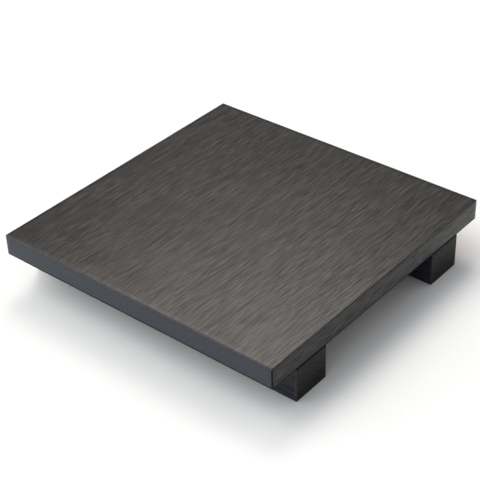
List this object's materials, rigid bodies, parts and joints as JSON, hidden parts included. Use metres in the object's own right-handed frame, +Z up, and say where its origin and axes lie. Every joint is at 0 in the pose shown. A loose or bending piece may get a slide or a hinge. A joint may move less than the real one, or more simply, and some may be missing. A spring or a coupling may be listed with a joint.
{
  "type": "footed serving board",
  "caption": "Low square wooden serving board: a thick flat plank on two cross-grain legs flush with its sides, screwed from below.",
  "frame": {"origin": "on the table, under the centre of the board", "axes": "+X along the grain of the plank, towards its right end; +Y along the legs, towards the back; +Z up"},
  "size_m": [0.18, 0.18, 0.033],
  "materials": {
    "plank_wood": "black-stained open-grain wood with a thin satin lacquer, fine grain along X",
    "leg_wood": "black-stained open-grain wood with a thin satin lacquer, fine grain along Y",
    "screw_steel": "zinc-plated steel, satin"
  },
  "bodies": {
    "root": {"top_plank": "plank_wood", "left_leg": "leg_wood", "right_leg": "leg_wood", "left_front_screw": "screw_steel", "left_back_screw": "screw_steel", "right_front_screw": "screw_steel", "right_back_screw": "screw_steel"}
  },
  "joints": []
}
